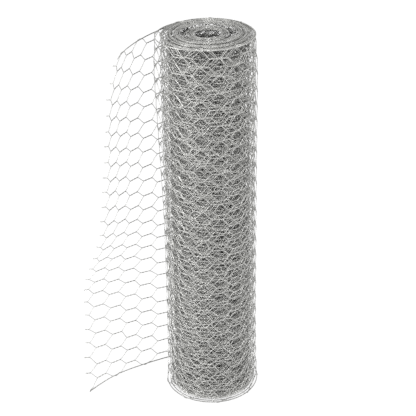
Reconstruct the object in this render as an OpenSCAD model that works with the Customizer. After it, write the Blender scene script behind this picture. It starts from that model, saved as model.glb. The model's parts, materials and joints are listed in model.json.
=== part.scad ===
// Roll of hexagonal wire netting that stands on its end, with the loose end of the sheet
// swung out to one side. Millimetres. The origin is on the axis of the roll, where it meets
// the floor, +Z is up and the loose end reaches towards -X and -Y.

/* [Netting] */
// Width of the netting, which is the height of the standing roll
netting_w = 600; // [300:10:1200]
// Length of netting wound into the roll
netting_l = 10000; // [5000:250:15000]
// Nominal mesh, from twist to twist across one opening
mesh_size = 25; // [20:1:50]
// Length of one twisted pair
twist_l = 17; // [10:0.5:30]
// Run along the netting of a single wire, from one column of twists to the next
slant_run = 11; // [6:0.5:20]
// Diameter of the wire, which is the width of a single strand
wire_d = 0.9; // [0.6:0.1:1.6]
// Width of the selvedge along each long edge of the netting
selvedge_w = 1.8; // [1:0.1:3]
// Thickness of the netting across a twist
netting_t = 1.8; // [1:0.1:3]

/* [Roll] */
// Outer diameter of the roll
roll_d = 145; // [110:1:220]
// Diameter of the open bore down the middle
bore_d = 36; // [20:1:60]
// Share of each turn's pitch that is wire, the rest being gap
turn_share = 0.55; // [0.3:0.05:0.8]
// Depth of the gaps that show between the turns on both ends
turn_gap_depth = 5; // [1:0.5:10]
// Width of the tight outermost turns, from which the loose end leaves
outer_band_w = 4; // [3.5:0.5:8]

/* [Loose end] */
// Length of netting from the back of the roll to the cut edge
loose_l = 224.5; // [160:0.5:280]
// Length of the lowest cut twists that stand out along the free edge
stub_l = 9.5; // [4:0.5:14]
// Length of the highest cut twists
high_stub_l = 6; // [3:0.5:14]
// Angle by which the lowest cut twists are bent outwards
low_stub_angle = 26; // [0:1:60]
// Angle by which the highest cut twists are bent outwards
high_stub_angle = 69; // [0:1:80]
// Angle round the roll, from the right, at which the lower part leaves it
low_leave_angle = 102.5; // [95:0.5:115]
// Angle round the roll at which the upper part leaves it
high_leave_angle = 118; // [105:0.5:130]
// Angle by which the top corner leaves the roll later still
corner_angle = 10; // [0:1:20]
// Height at which the loose end begins to leave the roll later
swing_low_h = 160; // [20:5:200]
// Height above which it leaves at the upper part's angle
swing_high_h = 315; // [250:5:560]
// Radius to which the lower part is still bent
bend_low = 540; // [250:10:900]
// Radius to which the upper part is still bent
bend_high = 215; // [130:5:500]
// Height at which the bend begins to tighten
curl_low_h = 115; // [20:5:200]
// Height above which it has the upper part's radius
curl_high_h = 545; // [250:5:590]
// Height of the corner at each selvedge that has a shape of its own
corner_h = 130; // [40:5:140]
// Radius to which the bottom corner adds a bend
corner_bend = 900; // [400:10:2000]
// How far the bottom corner is drawn out, and the top corner drawn back
corner_skew = 14; // [0:1:30]
// How far the bottom selvedge bows up off the floor
edge_lift = 5; // [0:0.5:10]
// Height to which that bow reaches
edge_lift_h = 35; // [20:5:80]

/* [Hidden] */
$fn = 96;

roll_r = roll_d / 2;
bore_r = bore_d / 2;
band_r = roll_r - outer_band_w;
quarter_turn = 90;
back_a = quarter_turn;
deg_per_rad = 180 / PI;

// The turns follow from the length of netting and the mean girth of the roll.
turns = max(3, round(netting_l / (PI * (roll_r + bore_r))));
turn_pitch = (band_r - bore_r) / turns;
turn_w = turn_pitch * turn_share;

// The wires run the length of the netting. Each steps up and down by one row between columns.
wires = 2 * round(netting_w / mesh_size) - 1;
row_h = (netting_w - 2 * selvedge_w) / wires;
column_pitch = twist_l + slant_run;

// The loose end starts inside the outermost turns, at the middle of their width.
root_r = roll_r - outer_band_w / 2;
hidden_l = root_r * (low_leave_angle - back_a) / deg_per_rad;
columns = ceil((loose_l - stub_l - hidden_l) / column_pitch);
stations = 2 * (columns + 1);

// Half section of the wound netting, with the ends of its turns standing proud of the gaps.
function turn_edges(z, depth) = [
    for (turn = [0 : turns - 1])
        let (inner = bore_r + turn * turn_pitch, outer = inner + turn_w, next = inner + turn_pitch)
            each [[inner, z], [outer, z], [outer, z + depth], [next, z + depth]]
];

function reversed(list) = [for (i = [len(list) - 1 : -1 : 0]) list[i]];

module wound_turns() {
    rotate_extrude()
        polygon(concat(
            turn_edges(0, turn_gap_depth),
            [[band_r, 0], [roll_r, 0], [roll_r, netting_w], [band_r, netting_w]],
            reversed(turn_edges(netting_w, -turn_gap_depth))
        ));
}

// A share kept between 0 and 1, and a smooth step from 0 at low to 1 at high.
function share(value) = min(1, max(0, value));

function ease(value, low, high) =
    let (t = share((value - low) / (high - low)))
        t * t * (3 - 2 * t);

// Share of a corner's own shape, which dies out away from the selvedge.
function corner(distance) = pow(share(1 - distance / corner_h), 2);

function leave_angle(z) =
    low_leave_angle
    + (high_leave_angle - low_leave_angle) * ease(z, swing_low_h, swing_high_h)
    + corner_angle * corner(netting_w - z);

function bend(z) =
    1 / bend_low
    + (1 / bend_high - 1 / bend_low) * ease(z, curl_low_h, curl_high_h)
    + corner(z) / corner_bend;

function skew(u, z) =
    corner_skew * (corner(z) - corner(netting_w - z)) * share(1 - u / loose_l);

// How far the bottom selvedge is lifted, after a run of netting that is free of the roll.
function lift(free_l, z) =
    edge_lift * pow(sin(180 * share(free_l / loose_l)), 2) * share(1 - z / edge_lift_h);

// Point on the loose end, u back from its cut edge, at height z and a distance off its middle.
function loose_point(u, z, off) =
    let (
        s = loose_l - u + skew(u, z),
        leave = leave_angle(z),
        wound = root_r * (leave - back_a) / deg_per_rad,
        free_l = s - wound,
        around = back_a + s / root_r * deg_per_rad,
        start = leave + quarter_turn,
        k = bend(z),
        heading = start + k * free_l * deg_per_rad
    )
        free_l <= 0
            ? [(root_r + off) * cos(around), (root_r + off) * sin(around), z]
            : [
                root_r * cos(leave) + (sin(heading) - sin(start)) / k + off * sin(heading),
                root_r * sin(leave) - (cos(heading) - cos(start)) / k - off * cos(heading),
                z + lift(free_l, z)
            ];

// The cut twists are bent outwards, more towards the top. The selvedges end straight.
function stub_angle(z) =
    z < row_h || z > netting_w - row_h
        ? 0
        : low_stub_angle + (high_stub_angle - low_stub_angle) * z / netting_w;

function stub_tip(z, off) =
    let (a = stub_angle(z), l = stub_l + (high_stub_l - stub_l) * z / netting_w)
        loose_point(stub_l - l * cos(a) + off * sin(a), z, l * sin(a) + off * cos(a));

// Stations along the netting are the two ends of the twists in each column, from the cut edge.
function station_column(s) = floor(s / 2);

function station_u(s) =
    s == 1
        ? stub_l
        : stub_l + slant_run + (station_column(s) - 1) * column_pitch + (s % 2) * twist_l;

function station_point(s, z, off) =
    s == 0 ? stub_tip(z, off) : loose_point(station_u(s), z, off);

// Strand 0 is the bottom selvedge, strands 1 to wires are the wires and the last is the top
// selvedge. A strand is twisted with the one above it in every second column.
function twisted(strand, s) = (strand + station_column(s)) % 2 == 0;

function row_z(row) = selvedge_w + row * row_h;

function strand_low(strand, s) =
    strand == 0 ? 0
    : strand > wires ? row_z(wires)
    : twisted(strand, s) ? row_z(strand) - wire_d
    : row_z(strand - 1);

function strand_high(strand, s) =
    strand == 0 ? row_z(0)
    : strand > wires ? netting_w
    : twisted(strand, s) ? row_z(strand)
    : row_z(strand - 1) + wire_d;

// Twisted strands share the corner between them, so each corner has one number.
function corner_id(strand, s, high, outer) =
    high == 1 && strand <= wires && twisted(strand, s)
        ? corner_id(strand + 1, s, 0, outer)
        : ((strand * stations + s) * 2 + high) * 2 + outer;

function quad(a, b, c, d) = [[a, b, c], [a, c, d]];

function strand_faces(strand, s) =
    let (
        next = s + 1,
        same_column = s % 2 == 0,
        closed_above = same_column && strand <= wires && twisted(strand, s),
        closed_below = same_column && strand > 0 && twisted(strand - 1, s),
        low_out = corner_id(strand, s, 0, 1),
        low_in = corner_id(strand, s, 0, 0),
        high_out = corner_id(strand, s, 1, 1),
        high_in = corner_id(strand, s, 1, 0),
        next_low_out = corner_id(strand, next, 0, 1),
        next_low_in = corner_id(strand, next, 0, 0),
        next_high_out = corner_id(strand, next, 1, 1),
        next_high_in = corner_id(strand, next, 1, 0)
    )
        concat(
            quad(next_high_out, high_out, low_out, next_low_out),
            quad(next_low_in, low_in, high_in, next_high_in),
            closed_above ? [] : quad(high_out, next_high_out, next_high_in, high_in),
            closed_below ? [] : quad(next_low_out, low_out, low_in, next_low_in),
            s == 0 ? quad(low_out, high_out, high_in, low_in) : [],
            next == stations - 1 ? quad(next_high_out, next_low_out, next_low_in, next_high_in) : []
        );

module loose_end() {
    corners = [
        for (strand = [0 : wires + 1], s = [0 : stations - 1])
            let (low = strand_low(strand, s), high = strand_high(strand, s))
                each [
                    station_point(s, low, -netting_t / 2),
                    station_point(s, low, netting_t / 2),
                    station_point(s, high, -netting_t / 2),
                    station_point(s, high, netting_t / 2)
                ]
    ];
    faces = [
        for (strand = [0 : wires + 1], s = [0 : stations - 2])
            each strand_faces(strand, s)
    ];
    polyhedron(corners, faces, convexity = 20);
}

// The whole sheet of netting: its wound turns and the loose end that leaves them.
module netting_roll() {
    color([0.62, 0.63, 0.64])
        union() {
            wound_turns();
            loose_end();
        }
}

netting_roll();
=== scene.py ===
import json
import math

import bmesh
import bpy
import numpy as np
from mathutils import Euler, Matrix, Vector


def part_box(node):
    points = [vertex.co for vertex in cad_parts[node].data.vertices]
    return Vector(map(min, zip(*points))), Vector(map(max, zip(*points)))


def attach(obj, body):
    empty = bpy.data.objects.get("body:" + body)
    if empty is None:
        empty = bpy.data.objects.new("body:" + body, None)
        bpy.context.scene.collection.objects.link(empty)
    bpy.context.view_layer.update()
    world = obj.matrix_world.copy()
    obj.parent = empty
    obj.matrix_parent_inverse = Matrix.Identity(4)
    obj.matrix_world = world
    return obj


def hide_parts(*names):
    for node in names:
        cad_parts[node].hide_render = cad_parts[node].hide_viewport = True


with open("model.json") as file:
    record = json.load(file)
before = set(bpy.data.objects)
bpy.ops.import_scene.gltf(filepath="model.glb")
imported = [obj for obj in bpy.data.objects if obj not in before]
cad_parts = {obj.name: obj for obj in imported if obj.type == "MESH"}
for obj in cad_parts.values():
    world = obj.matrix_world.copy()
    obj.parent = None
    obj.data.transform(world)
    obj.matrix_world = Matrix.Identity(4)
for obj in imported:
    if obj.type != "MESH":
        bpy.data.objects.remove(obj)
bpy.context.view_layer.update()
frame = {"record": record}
scene = bpy.context.scene


# Camera
# It stands in front of the roll, well above its top, and looks down on it with a long lens.
# The roll leans slightly in the picture, so the camera is rolled by the same small angle.
IMAGE_SIDE = 416
FOCAL_PIXELS = 1347.1
SENSOR_WIDTH_MM = 36.0
CAMERA_PLACE = Vector((0.0, -1.820, 1.318))
LOOK_DOWN = math.radians(28.81)
LOOK_LEFT = math.radians(0.111)
CAMERA_LEAN = math.radians(-0.843)
QUARTER_TURN = math.pi / 2

camera_data = bpy.data.cameras.new("camera")
camera_data.sensor_width = SENSOR_WIDTH_MM
camera_data.lens = SENSOR_WIDTH_MM * FOCAL_PIXELS / IMAGE_SIDE
camera = bpy.data.objects.new("camera", camera_data)
camera_turn = Euler((QUARTER_TURN - LOOK_DOWN, 0.0, LOOK_LEFT)).to_matrix()
lean_turn = Matrix.Rotation(CAMERA_LEAN, 3, "Z")
camera.matrix_world = Matrix.Translation(CAMERA_PLACE) @ (camera_turn @ lean_turn).to_4x4()
scene.collection.objects.link(camera)
scene.camera = camera


# Lattice of the netting
# Steel wires run the length of the sheet. Each is twisted with its neighbour, crosses to the next
# row on a slant, and is twisted there with the next one, so the openings are hexagons. A pair of
# wires is laid along each long edge as its selvedge, and the outer wires wrap round it.
netting_low, netting_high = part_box("netting_roll")
NETTING_WIDTH = netting_high.z - netting_low.z
MESH = 0.025
TWIST_LENGTH = 0.017
SLANT_RUN = 0.011
SLANT_CURVE = 0.03
STUB_LENGTH = 0.0095
HIGH_STUB_LENGTH = 0.0060
SELVEDGE_STUB = 0.0060
LOW_STUB_BEND = math.radians(26.0)
HIGH_STUB_BEND = math.radians(69.0)
STUB_BEND_SPREAD = math.radians(8.6)
SHORTEST_STUB, LONGEST_STUB = 0.75, 1.10
WIRE_RADIUS = 0.00045
WRAP_TURNS = 1.0
SELVEDGE_MIDDLE = 0.0018
UNEVEN = 0.0008
MOST_COLUMNS = 440
SEED = 11
SLIVER = 1e-6

column_pitch = TWIST_LENGTH + SLANT_RUN
rows = 2 * round(NETTING_WIDTH / MESH) - 1
row_height = (NETTING_WIDTH - 2 * SELVEDGE_MIDDLE) / rows
edge_rows = [0, rows]
pair_radius = 2 * WIRE_RADIUS
wrap_radius = pair_radius + WIRE_RADIUS
chance = np.random.default_rng(SEED)
uneven_along = chance.normal(0.0, UNEVEN, (rows + 1, MOST_COLUMNS))
uneven_up = chance.normal(0.0, UNEVEN, (rows + 1, MOST_COLUMNS))
uneven_up[edge_rows] = 0.0
stub_share = np.linspace(1.0, HIGH_STUB_LENGTH / STUB_LENGTH, rows + 1)
stub_share = stub_share * chance.uniform(SHORTEST_STUB, LONGEST_STUB, rows + 1)
stub_share[edge_rows] = SELVEDGE_STUB / STUB_LENGTH
stub_bend = np.linspace(LOW_STUB_BEND, HIGH_STUB_BEND, rows + 1)
stub_bend = stub_bend + chance.normal(0.0, STUB_BEND_SPREAD, rows + 1)
stub_bend[edge_rows] = 0.0


def column_start(column):
    """How far along the sheet the twists of a column begin."""
    return STUB_LENGTH - TWIST_LENGTH + column * column_pitch


def wire_paths(first_column, last_column, twist_turns, twist_steps, slant_steps):
    """Middle lines of every wire from one column up to another: along, height, offset."""
    starts = 2 * np.arange(rows)
    parts = []
    for column in range(first_column, last_column + 1):
        # A wire moves by one row from column to column, and turns back at a selvedge.
        phase = (starts + column) % (2 * rows)
        row = np.where(phase <= rows, phase, 2 * rows - phase)
        at_edge = np.isin(row, edge_rows)
        from_below = (phase > 0) & (phase <= rows)
        radius = np.where(at_edge, wrap_radius, WIRE_RADIUS)
        turns = np.where(at_edge, WRAP_TURNS, twist_turns)
        twist_start = column_start(column) + uneven_along[row, column]
        height = SELVEDGE_MIDDLE + row * row_height + uneven_up[row, column]

        # The sheet is cut through the twists of column 0. A stretch ends where its last twists begin.
        share = np.linspace(0.0, 1.0, twist_steps + 1)
        if column == 0:
            share = share[share >= 1.0 - STUB_LENGTH / TWIST_LENGTH - SLIVER]
        if column == last_column:
            share = share[:1]
        angle = np.where(from_below, -QUARTER_TURN, QUARTER_TURN)[:, None]
        angle = angle + 2 * math.pi * turns[:, None] * share
        along = twist_start[:, None] + TWIST_LENGTH * share
        offset = radius[:, None] * np.cos(angle)
        if column == 0:
            cut_off = (1.0 - share) * TWIST_LENGTH * stub_share[row][:, None]
            along = twist_start[:, None] + TWIST_LENGTH - cut_off * np.cos(stub_bend[row])[:, None]
            offset = offset + cut_off * np.sin(stub_bend[row])[:, None]
        twist = np.stack([along, height[:, None] + radius[:, None] * np.sin(angle), offset], axis=2)

        # A slant joins the end of the twist before to the start of this one.
        if parts:
            before = parts[-1][:, -1]
            blend = np.linspace(0.0, 1.0, slant_steps + 1)[1:-1, None]
            rise = blend - SLANT_CURVE * np.sin(2 * math.pi * blend)
            blend = np.concatenate([blend, rise, blend], axis=1)
            parts.append(before[:, None] + (twist[:, 0] - before)[:, None] * blend)
        parts.append(twist)
    return np.concatenate(parts, axis=1)


def selvedge_paths(start, end, longest_step):
    """Middle lines of the two pairs of wires that run along the bottom and the top of the sheet."""
    along = np.linspace(start, end, math.ceil((end - start) / longest_step) + 1)
    paths = []
    for middle in (SELVEDGE_MIDDLE, NETTING_WIDTH - SELVEDGE_MIDDLE):
        for height in (middle + WIRE_RADIUS, middle - WIRE_RADIUS):
            paths.append(np.stack([along, np.full_like(along, height), np.zeros_like(along)], axis=1))
    return np.stack(paths)


# Galvanised wire
# Drawn steel wire with a hot-dipped zinc coat: pale grey metal, mottled by the zinc's grain, with
# duller patches where the coat has begun to oxidise. Shade is painted into its colour: it is darker
# inside the roll, where only the selvedges stay bright, at the rim between the wound turns, on the
# outermost turn and the loose end, and along the floor.
class Shade:
    """One socket of a node tree, with operators that add nodes. Without a socket it starts a tree."""

    def __init__(self, tree, socket=None):
        self.tree = tree
        self.socket = socket

    def node(self, kind, inputs, output=0, **settings):
        """A new node with these settings and inputs, given by one of its outputs if it has any."""
        made = self.tree.nodes.new(kind)
        for name, value in settings.items():
            setattr(made, name, value)
        for name, value in inputs.items():
            if isinstance(value, Shade):
                self.tree.links.new(value.socket, made.inputs[name])
            else:
                made.inputs[name].default_value = value
        return Shade(self.tree, made.outputs[output] if made.outputs else None)

    def maths(self, operation, first, second):
        return self.node("ShaderNodeMath", {0: first, 1: second}, operation=operation)

    def __add__(self, other):
        return self.maths("ADD", self, other)

    def __rsub__(self, other):
        return self.maths("SUBTRACT", other, self)

    def __mul__(self, other):
        return self.maths("MULTIPLY", self, other)

    __radd__ = __add__
    __rmul__ = __mul__

    def larger(self, other):
        return self.maths("MAXIMUM", self, other)

    def noise(self, scale, detail=2.0, roughness=0.5):
        inputs = {"Vector": self, "Scale": scale, "Detail": detail, "Roughness": roughness}
        return self.node("ShaderNodeTexNoise", inputs)

    def ramp(self, low, high):
        """0 up to low, 1 from high on, and even in between."""
        inputs = {"Value": self, "From Min": low, "From Max": high}
        return self.node("ShaderNodeMapRange", inputs, clamp=True)

    def mix(self, first, second):
        """The first colour where this is 0 and the second where it is 1."""
        first_colour, second_colour, mixed_colour = 6, 7, 2
        inputs = {"Factor": self, first_colour: first, second_colour: second}
        return self.node("ShaderNodeMix", inputs, output=mixed_colour, data_type="RGBA")

    def between(self, low, high):
        """low where this is 0 and high where it is 1."""
        return low + self * (high - low)


def empty_tree(owner):
    """Start of an empty node tree for a material or the world."""
    owner.use_nodes = True
    owner.node_tree.nodes.clear()
    return Shade(owner.node_tree)


def galvanised_wire():
    """The one finish of all the wires."""
    bright_zinc = (0.655, 0.655, 0.635, 1.0)
    grey_zinc = (0.47, 0.47, 0.455, 1.0)
    dull_oxide = (0.41, 0.41, 0.40, 1.0)
    black = (0.0, 0.0, 0.0, 1.0)
    metal_share = 0.85
    zinc_roughness, grain_roughness, patch_roughness = 0.34, 0.10, 0.16
    grain_scale, grain_detail = 420.0, 3.0
    grain_low, grain_high = 0.35, 0.65
    patch_scale, patch_detail, patch_breakup = 38.0, 4.0, 0.6
    patch_low, patch_high, patch_cover = 0.52, 0.70, 0.6
    pit_scale, pit_strength, pit_depth = 2600.0, 0.25, 0.0001
    deep_radius, wound_radius = 0.030, 0.063
    open_radius, loose_radius = 0.066, 0.0725
    rim_height, top_height = 0.575, 0.590
    floor_height, clear_height = 0.002, 0.005
    # How much colour each painted shade keeps: inside the roll, at the rim, on the outer turns and by
    # the floor.
    deep_painted_shade, rim_painted_shade, loose_painted_shade, floor_painted_shadow = 0.50, 0.65, 0.80, 0.66
    level = (1.0, 1.0, 0.0)

    material = bpy.data.materials.new("galvanised_wire")
    start = empty_tree(material)
    place = start.node("ShaderNodeTexCoord", {}, output="Object")
    grain = place.noise(grain_scale, grain_detail).ramp(grain_low, grain_high)
    patches = place.noise(patch_scale, patch_detail, patch_breakup).ramp(patch_low, patch_high)
    colour = (patches * patch_cover).mix(grain.mix(grey_zinc, bright_zinc), dull_oxide)

    plan = start.node("ShaderNodeVectorMath", {0: place, 1: level}, operation="MULTIPLY")
    from_axis = start.node("ShaderNodeVectorMath", {0: plan}, output="Value", operation="LENGTH")
    height = start.node("ShaderNodeSeparateXYZ", {0: place}, output="Z")
    selvedge = start.node("ShaderNodeAttribute", {}, output="Fac", attribute_name="selvedge")
    # Painted shade: the wires darken towards the axis inside the roll, where less light reaches them.
    # The selvedges are spared.
    painted_shade = from_axis.ramp(deep_radius, wound_radius).larger(selvedge).between(deep_painted_shade, 1.0)
    # Painted shade at the rim: the wound turns darken near the top, except their selvedges, so the gaps
    # between the rings look shaded.
    at_rim = height.ramp(rim_height, top_height) * (1 - from_axis.ramp(wound_radius, open_radius))
    painted_shade = painted_shade * (at_rim * (1 - selvedge)).between(1.0, rim_painted_shade)
    # Painted shade on the outermost turn and the loose end, which tones down these directly lit wires.
    painted_shade = painted_shade * from_axis.ramp(open_radius, loose_radius).between(1.0, loose_painted_shade)
    # Painted shadow along the floor: the wires darken in the lowest few millimetres, where the roll
    # stands.
    painted_shade = painted_shade * height.ramp(floor_height, clear_height).between(floor_painted_shadow, 1.0)
    colour = painted_shade.mix(black, colour)

    roughness = zinc_roughness + grain * grain_roughness + patches * patch_roughness
    pits = place.noise(pit_scale)
    bump = start.node("ShaderNodeBump", {
        "Height": pits,
        "Strength": pit_strength,
        "Distance": pit_depth,
    })
    surface = start.node("ShaderNodeBsdfPrincipled", {
        "Base Color": colour,
        "Roughness": roughness,
        "Metallic": metal_share,
        "Normal": bump,
    })
    start.node("ShaderNodeOutputMaterial", {"Surface": surface})
    return material


wire_finish = galvanised_wire()


# Form of the roll
# The sheet is wound up from the inside, tight and unevenly, with a few slack turns near the bore.
# The two outermost turns are looser and stand on the floor, where the outermost one flares. The
# turns inside them have slid up and hang a little above it. All end at about the same rim.
MM_PER_METRE = 1000
ROLL_RADIUS = netting_high.x - pair_radius
SECOND_RADIUS = 0.0692
BODY_RADIUS = 0.0668
SLACK_RADIUS = 0.0430
CORE_RADIUS = 0.0310
BORE_RADIUS = frame["record"]["mounts"][0]["dims"]["r_mm"] / MM_PER_METRE + pair_radius
BODY_TURNS = 20
SLACK_TURNS = 3
CORE_TURNS = 10
GAP_EVENNESS = 2.0
STEP_IN = 0.25
TURN_STEPS = 240
DRAWN_UP = 0.957
BASE_LIFT = 0.0035
RIM_RADII = (0.032, 0.038, 0.050, 0.066)
RIM_LIFTS = (0.0050, 0.0065, 0.0065, 0.0045)
RIM_TILT = 0.0025
LIFT_SPREAD = 0.0013
RIM_DRAW = 0.0030
RIM_DRAW_FROM = 0.540
FLARE = 0.0022
FLARE_HEIGHT = 0.080
BULGE = 0.009
BULGE_TURN, BULGE_SPREAD = 0.70, 0.20
BULGE_FROM, BULGE_TO = 0.250, 0.590
SWAYS = ((0.0006, 13.0, 6.0), (0.0004, 19.5, -4.0))
DRIFTS = ((0.0020, 10.2, 9.0), (0.0015, 15.2, -13.0))
SLIPS = ((0.0020, 8.7, 11.0), (0.0015, 13.9, -17.0))
EDGE_HOLD = 0.050
ASTRAY_TURNS = (1.7, 2.5)
BACK = QUARTER_TURN


def wind(turns, outer, inner):
    """Radii after each of several turns, with uneven gaps between them."""
    gaps = chance.gamma(GAP_EVENNESS, 1.0, turns)
    return outer - (outer - inner) * np.cumsum(gaps) / gaps.sum()


# Turns are counted inwards from the back of the roll. The two outer ones each keep their radius
# until they step in, and they stand on the floor up to the last of these steps.
loose_turn_ends = [0.0, 1.0 - STEP_IN, 1.0, 2.0 - STEP_IN, 2.0]
loose_turn_radii = [ROLL_RADIUS, ROLL_RADIUS, SECOND_RADIUS, SECOND_RADIUS, BODY_RADIUS]
standing_ends = len(loose_turn_ends) - 1
inner_turns = BODY_TURNS + SLACK_TURNS + CORE_TURNS
turn_ends = np.append(loose_turn_ends, loose_turn_ends[-1] + 1.0 + np.arange(inner_turns))
turn_end_radii = np.concatenate([
    loose_turn_radii,
    wind(BODY_TURNS, BODY_RADIUS, SLACK_RADIUS),
    wind(SLACK_TURNS, SLACK_RADIUS, CORE_RADIUS),
    wind(CORE_TURNS, CORE_RADIUS, BORE_RADIUS),
])
base_lifts = chance.normal(BASE_LIFT, LIFT_SPREAD, len(turn_ends))
base_lifts[:standing_ends] = 0.0
rim_lifts = np.interp(turn_end_radii, RIM_RADII, RIM_LIFTS)
rim_lifts[standing_ends:] += chance.normal(0.0, LIFT_SPREAD, len(turn_ends) - standing_ends)
turns_in = np.linspace(0.0, turn_ends[-1], int(turn_ends[-1] * TURN_STEPS) + 1)
turn_radius = np.interp(turns_in, turn_ends, turn_end_radii)
mean_radius = (turn_radius[1:] + turn_radius[:-1]) / 2
turn_length = np.append(0.0, np.cumsum(mean_radius * np.diff(turns_in) * 2 * math.pi))


def ease(value, low, high):
    """A smooth step from 0 at low to 1 at high."""
    t = np.clip((value - low) / (high - low), 0.0, 1.0)
    return t * t * (3 - 2 * t)


def waves(ripples, along, height):
    """Sum of slow waves over the sheet. Each has its size and its rates along and up the sheet."""
    return sum(size * np.sin(rate * along + rise * height) for size, rate, rise in ripples)


def wound_place(past_back, height, offset):
    """Places of points that lie in the roll, given how far past its back they come."""
    turns = np.interp(-past_back, turn_length, turns_in)
    settled = ease(turns, 0.0, STEP_IN)
    around = BACK - 2 * math.pi * turns + np.maximum(past_back, 0.0) / ROLL_RADIUS

    bulge = 1.0 - np.minimum(1.0, np.abs(turns - BULGE_TURN) / BULGE_SPREAD) ** 2
    bulge = BULGE * bulge ** 2 * ease(height, BULGE_FROM, BULGE_TO)
    loose = settled * (1.0 - ease(turns, 2.0 - STEP_IN, 2.0))
    second = ease(turns, 1.0 - STEP_IN, 1.0)
    flare = (1.0 - second) * FLARE * np.maximum(0.0, 1.0 - height / FLARE_HEIGHT) ** 2
    drawn_in = RIM_DRAW * ease(height, RIM_DRAW_FROM, NETTING_WIDTH)
    drawn_in = drawn_in / (1.0 + second)
    radius = np.interp(turns, turns_in, turn_radius) + settled * waves(SWAYS, turns, height)
    radius = radius + bulge + loose * (flare - drawn_in) + offset

    up = height / NETTING_WIDTH
    rim_lift = np.interp(turns, turn_ends, rim_lifts)
    rim_lift = rim_lift - RIM_TILT * radius * np.sin(around) / ROLL_RADIUS
    lift = (1.0 - up) * np.interp(turns, turn_ends, base_lifts) + up * rim_lift
    astray = ease(np.minimum(height, NETTING_WIDTH - height), 0.0, EDGE_HOLD)
    astray = astray * ease(turns, *ASTRAY_TURNS)
    lift = lift + astray * waves(DRIFTS, turns, height)
    around = around + astray * waves(SLIPS, turns, height) / radius
    return radius * np.cos(around), radius * np.sin(around), height + settled * lift


# Loose end
# The cut end of the sheet leaves the outermost turn at the back. Its lower part still runs out to
# the side, and its bottom selvedge bows up off the floor, more towards the cut edge. Its upper
# part has swung forward and curls, most of all at the top corner.
LOOSE_LENGTH = 0.2245
LEAVE_LOW = math.radians(102.5)
LEAVE_HIGH = math.radians(118.0)
CORNER_TURN = math.radians(10.0)
SWING_FROM, SWING_TO = 0.160, 0.315
BEND_LOW = 1 / 0.540
BEND_HIGH = 1 / 0.215
CORNER_BEND = 1 / 0.900
CURL_FROM, CURL_TO = 0.115, 0.545
CORNER_HEIGHT = 0.130
CORNER_SKEW = 0.014
EDGE_LIFT = 0.005
EDGE_LIFT_HEIGHT = 0.035
RIPPLES = ((0.0012, 31.0, -9.0), (0.0010, 23.0, 17.0))
RIPPLE_FROM = 0.050


def corner(distance):
    """Share of a corner's own shape, which dies out away from the selvedge."""
    return np.maximum(0.0, 1.0 - distance / CORNER_HEIGHT) ** 2


def loose_place(past_back, height, offset):
    """Places of points on the loose end, and whether each lies past where the sheet leaves the roll."""
    leave = LEAVE_LOW + (LEAVE_HIGH - LEAVE_LOW) * ease(height, SWING_FROM, SWING_TO)
    leave = leave + CORNER_TURN * corner(NETTING_WIDTH - height)
    bend = BEND_LOW + (BEND_HIGH - BEND_LOW) * ease(height, CURL_FROM, CURL_TO)
    bend = bend + CORNER_BEND * corner(height)
    free_run = past_back - ROLL_RADIUS * (leave - BACK)
    start = leave + QUARTER_TURN
    heading = start + bend * free_run
    off = offset + waves(RIPPLES, past_back, height) * np.clip(free_run / RIPPLE_FROM, 0.0, 1.0)
    x = ROLL_RADIUS * np.cos(leave) + (np.sin(heading) - np.sin(start)) / bend + off * np.sin(heading)
    y = ROLL_RADIUS * np.sin(leave) - (np.cos(heading) - np.cos(start)) / bend - off * np.cos(heading)
    bow = np.sin(math.pi * np.clip(free_run / LOOSE_LENGTH, 0.0, 1.0) ** 2) ** 2
    lift = EDGE_LIFT * bow * np.maximum(0.0, 1.0 - height / EDGE_LIFT_HEIGHT)
    return x, y, height + lift, free_run > 0


def bend_sheet(flat):
    """Places in the frame of points on the flat sheet: along from the cut edge, height, offset."""
    along, height, offset = np.moveaxis(flat, -1, 0)
    skew = CORNER_SKEW * (corner(height) - corner(NETTING_WIDTH - height))
    past_back = LOOSE_LENGTH - along + skew * np.clip(1.0 - along / LOOSE_LENGTH, 0.0, 1.0)
    past_back = np.where(past_back < 0.0, past_back * DRAWN_UP, past_back)
    wound = np.stack(wound_place(past_back, height, offset), axis=-1)
    *loose, free = loose_place(past_back, height, offset)
    return np.where(free[..., None], np.stack(loose, axis=-1), wound)


# Stretches of netting
# The sheet is made in stretches that follow each other from the cut edge to the inner end.
# Each holds its wires and both selvedges, and the outer stretches have rounder wires.
OFF_SHEET = (0.0, 0.0, 1.0)
STRIP_MARGIN = 0.1
FINE = {"sides": 6, "twist_turns": 1.5, "twist_steps": 12, "slant_steps": 4, "edge_step": 0.0016}
MEDIUM = {"sides": 4, "twist_turns": 1.5, "twist_steps": 9, "slant_steps": 2, "edge_step": 0.0022}
COARSE = {"sides": 3, "twist_turns": 1.5, "twist_steps": 7, "slant_steps": 2, "edge_step": 0.0026}
HIDDEN = {"sides": 3, "twist_turns": 0.5, "twist_steps": 3, "slant_steps": 1, "edge_step": 0.0026}
MIDDLE_END = 130

sheet_length = LOOSE_LENGTH + turn_length[-1] / DRAWN_UP
sheet_end = int((sheet_length - STUB_LENGTH) / column_pitch)
STRETCHES = (
    ("loose_end", 8, FINE),
    ("outermost_turn", 24, FINE),
    ("second_turns", 60, MEDIUM),
    ("middle_turns", MIDDLE_END, COARSE),
    ("inner_turns", (MIDDLE_END + sheet_end) // 2, HIDDEN),
    ("innermost_turns", sheet_end, HIDDEN),
)


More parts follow.
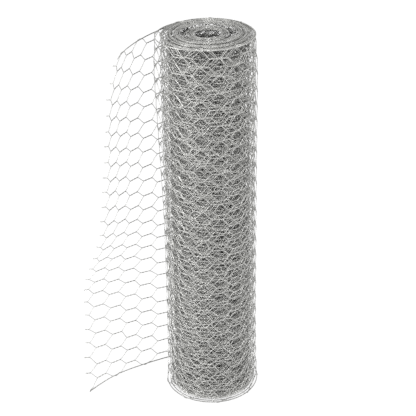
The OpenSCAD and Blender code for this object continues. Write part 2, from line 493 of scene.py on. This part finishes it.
def round_wires(paths, sides, first_strip, strips):
    """Corners and faces of wires along flat paths. Each wire has a strip of the UV map to itself."""
    wires, points, _ = paths.shape
    run = np.gradient(paths, axis=1)
    run /= np.linalg.norm(run, axis=2, keepdims=True)
    across = np.cross(run, OFF_SHEET)
    across /= np.linalg.norm(across, axis=2, keepdims=True)
    out = np.cross(across, run)
    turn = 2 * math.pi * np.arange(sides) / sides
    ring = across[:, :, None] * np.cos(turn)[:, None] + out[:, :, None] * np.sin(turn)[:, None]
    corners = bend_sheet(paths[:, :, None] + WIRE_RADIUS * ring).reshape(-1, 3)

    number = np.arange(wires * points * sides).reshape(wires, points, sides)
    next_side = np.roll(number, -1, axis=2)
    walls = np.stack([number[:, :-1], next_side[:, :-1], next_side[:, 1:], number[:, 1:]], axis=-1)
    walls = walls.reshape(-1, walls.shape[-1])
    caps = np.stack([number[:, 0, ::-1], number[:, -1]]).reshape(-1, sides)

    strip, point, side = np.meshgrid(
        first_strip + np.arange(wires), np.arange(points), np.arange(sides + 1), indexing="ij")
    across_strip = (strip + STRIP_MARGIN + (1 - 2 * STRIP_MARGIN) * side / sides) / strips
    strip_uv = np.stack([point / (points - 1), across_strip], axis=-1)
    wall_uv = np.stack([
        strip_uv[:, :-1, :-1],
        strip_uv[:, :-1, 1:],
        strip_uv[:, 1:, 1:],
        strip_uv[:, 1:, :-1],
    ], axis=3)
    cap_uv = np.stack([strip_uv[:, 0, -2::-1], strip_uv[:, -1, :-1]])
    return corners, (walls, caps), (wall_uv, cap_uv)


def wire_mesh(name, wires, edges, sides):
    """One mesh of netting wires and selvedge wires. An attribute tells the selvedges from the rest."""
    strips = len(wires) + len(edges)
    corners, loops, sizes, uv, selvedge = [], [], [], [], []
    count = 0
    for paths, first_strip, on_selvedge in ((wires, 0, 0.0), (edges, len(wires), 1.0)):
        set_corners, set_faces, set_uv = round_wires(paths, sides, first_strip, strips)
        for faces, face_uv in zip(set_faces, set_uv):
            loops.append((faces + count).ravel())
            sizes.append(np.full(len(faces), faces.shape[1]))
            uv.append(face_uv.ravel())
        corners.append(set_corners)
        selvedge.append(np.full(len(set_corners), on_selvedge))
        count += len(set_corners)
    corners, loops, sizes, uv, selvedge = (
        np.concatenate(values) for values in (corners, loops, sizes, uv, selvedge))
    loop_starts = np.cumsum(sizes) - sizes

    mesh = bpy.data.meshes.new(name)
    mesh.vertices.add(len(corners))
    mesh.vertices.foreach_set("co", corners.astype(np.float32).ravel())
    mesh.loops.add(len(loops))
    mesh.loops.foreach_set("vertex_index", loops.astype(np.int32))
    mesh.polygons.add(len(sizes))
    mesh.polygons.foreach_set("loop_start", loop_starts.astype(np.int32))
    mesh.uv_layers.new(name="OFBake").data.foreach_set("uv", uv.astype(np.float32))
    selvedge_layer = mesh.attributes.new("selvedge", "FLOAT", "POINT")
    selvedge_layer.data.foreach_set("value", selvedge.astype(np.float32))
    mesh.update(calc_edges=True)
    mesh.shade_smooth()
    return mesh


def netting_stretch(
        name, first_column, last_column, sides, twist_turns, twist_steps, slant_steps, edge_step):
    """A stretch of the sheet, from one column of twists to another, with its selvedges, as one piece."""
    wires = wire_paths(first_column, last_column, twist_turns, twist_steps, slant_steps)
    edge_start = max(STUB_LENGTH - SELVEDGE_STUB, column_start(first_column))
    edges = selvedge_paths(edge_start, column_start(last_column), edge_step)
    mesh = wire_mesh(name, wires, edges, sides)
    mesh.materials.append(wire_finish)
    piece = bpy.data.objects.new(name, mesh)
    scene.collection.objects.link(piece)
    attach(piece, "root")
    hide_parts("netting_roll")


stretch_start = 0
for stretch_name, stretch_end, detail in STRETCHES:
    netting_stretch(stretch_name, stretch_start, stretch_end, **detail)
    stretch_start = stretch_end


# Floor and light
# A plain white floor and backdrop, a broad soft lamp on either side, a smaller one in front and
# even light all round. The floor is shaded where the roll stands on it.
FLOOR_SIDE = 8.0
UNDER_ROLL = 0.058
WHITE = (1.0, 1.0, 1.0, 1.0)
PAPER = (0.9, 0.9, 0.9, 1.0)
FLOOR_GLOW = 1.06
FLOOR_GLOW_SHARE = 0.85
ROOM_LIGHT = 0.7
LAMP_TARGET = Vector((0.0, 0.0, 0.3))
LAMPS = (
    ("left_lamp", (-2.2, -1.2, 0.8), 1.5, 60.0),
    ("right_lamp", (2.2, -1.2, 0.8), 1.5, 30.0),
    ("front_lamp", (0.0, -1.9, 1.5), 0.6, 16.0),
)

floor_mesh = bpy.data.meshes.new("floor")
floor_form = bmesh.new()
bmesh.ops.create_grid(floor_form, x_segments=1, y_segments=1, size=FLOOR_SIDE / 2)
floor_form.to_mesh(floor_mesh)
floor_form.free()
floor = bpy.data.objects.new("floor", floor_mesh)
scene.collection.objects.link(floor)


def seen_directly(start):
    """1 for rays from the camera, reflections and what shows through, and 0 for the rest."""
    kinds = ("Is Camera Ray", "Is Glossy Ray", "Is Transmission Ray")
    rays = [start.node("ShaderNodeLightPath", {}, output=kind) for kind in kinds]
    return (rays[0] + rays[1] + rays[2]).ramp(0.0, 1.0)


floor_material = bpy.data.materials.new("floor")
start = empty_tree(floor_material)
place = start.node("ShaderNodeTexCoord", {}, output="Object")
from_axis = start.node("ShaderNodeVectorMath", {0: place}, output="Value", operation="LENGTH")
glowing = seen_directly(start) * from_axis.ramp(UNDER_ROLL, BODY_RADIUS) * FLOOR_GLOW_SHARE
paper = start.node("ShaderNodeBsdfDiffuse", {"Color": PAPER})
glow = start.node("ShaderNodeEmission", {"Color": WHITE, "Strength": FLOOR_GLOW})
shown = start.node("ShaderNodeMixShader", {0: glowing, 1: paper, 2: glow})
start.node("ShaderNodeOutputMaterial", {"Surface": shown})
floor_mesh.materials.append(floor_material)

world = bpy.data.worlds.new("studio")
scene.world = world
start = empty_tree(world)
strength = seen_directly(start).between(ROOM_LIGHT, 1.0)
backdrop = start.node("ShaderNodeBackground", {"Color": WHITE, "Strength": strength})
start.node("ShaderNodeOutputWorld", {"Surface": backdrop})

for lamp_name, lamp_place, lamp_side, watts in LAMPS:
    lamp_data = bpy.data.lights.new(lamp_name, "AREA")
    lamp_data.size = lamp_side
    lamp_data.energy = watts
    lamp = bpy.data.objects.new(lamp_name, lamp_data)
    lamp.location = lamp_place
    lamp.rotation_euler = (LAMP_TARGET - lamp.location).to_track_quat("-Z", "Y").to_euler()
    scene.collection.objects.link(lamp)

scene.view_settings.view_transform = "Standard"
# The wires are thinner than a pixel, and the denoiser would smear them into each other.
scene.cycles.use_denoising = False
bpy.context.view_layer.update()
